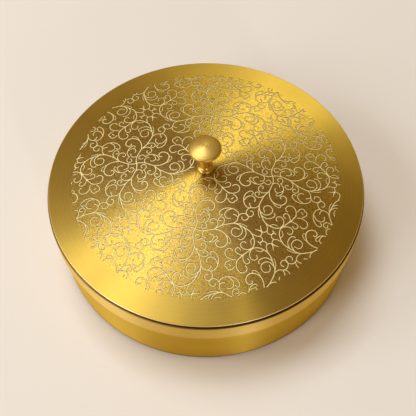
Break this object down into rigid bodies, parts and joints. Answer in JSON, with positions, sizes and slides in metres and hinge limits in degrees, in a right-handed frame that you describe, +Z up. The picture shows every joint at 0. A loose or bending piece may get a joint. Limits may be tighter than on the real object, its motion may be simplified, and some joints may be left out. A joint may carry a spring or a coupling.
{
  "type": "spice box",
  "caption": "Round spun-metal spice box with a domed lift-off lid, a turned knob, an engraved scroll field, and beaded cups with a spoon standing in the pan.",
  "frame": {"origin": "centre of the pan's flat base, on the surface that the box stands on", "axes": "+Z up the box's axis, through the knob; -Y towards the picture's camera; the spoon leans along +X"},
  "size_m": [0.221, 0.221, 0.0989],
  "materials": {
    "lid_brass": "circular brushed, engraved",
    "band_brass": "fine horizontal brushing",
    "pan_brass": "fine horizontal brushing",
    "knob_brass": "turned and polished",
    "fastener_brass": "turned",
    "cup_brass": "spun, satin",
    "spoon_brass": "polished"
  },
  "bodies": {
    "pan": {"box_pan": "pan_brass"},
    "lid": {"lid_cover": "lid_brass", "lid_band": "band_brass", "lid_knob": "knob_brass", "knob_washer": "fastener_brass", "knob_screw": "fastener_brass"},
    "middle_cup": {"spice_cup_middle": "cup_brass"},
    "cup_1": {"spice_cup_1": "cup_brass"},
    "cup_2": {"spice_cup_2": "cup_brass"},
    "cup_3": {"spice_cup_3": "cup_brass"},
    "cup_4": {"spice_cup_4": "cup_brass"},
    "cup_5": {"spice_cup_5": "cup_brass"},
    "cup_6": {"spice_cup_6": "cup_brass"},
    "spoon": {"spice_spoon": "spoon_brass"}
  },
  "joints": [
    {"name": "lid_lift", "type": "slide", "parent": "pan", "child": "lid", "axis": [0, 0, 1], "range_m": [0, 0.12]},
    {"name": "middle_cup_lift", "type": "slide", "parent": "pan", "child": "middle_cup", "axis": [0, 0, 1], "range_m": [0, 0.009]},
    {"name": "cup_1_lift", "type": "slide", "parent": "pan", "child": "cup_1", "axis": [0, 0, 1], "range_m": [0, 0.015]},
    {"name": "cup_2_lift", "type": "slide", "parent": "pan", "child": "cup_2", "axis": [0, 0, 1], "range_m": [0, 0.015]},
    {"name": "cup_3_lift", "type": "slide", "parent": "pan", "child": "cup_3", "axis": [0, 0, 1], "range_m": [0, 0.015]},
    {"name": "cup_4_lift", "type": "slide", "parent": "pan", "child": "cup_4", "axis": [0, 0, 1], "range_m": [0, 0.015]},
    {"name": "cup_5_lift", "type": "slide", "parent": "pan", "child": "cup_5", "axis": [0, 0, 1], "range_m": [0, 0.015]},
    {"name": "cup_6_lift", "type": "slide", "parent": "pan", "child": "cup_6", "axis": [0, 0, 1], "range_m": [0, 0.015]},
    {"name": "spoon_lift", "type": "slide", "parent": "middle_cup", "child": "spoon", "axis": [0, 0, 1], "range_m": [0, 0.006]}
  ]
}
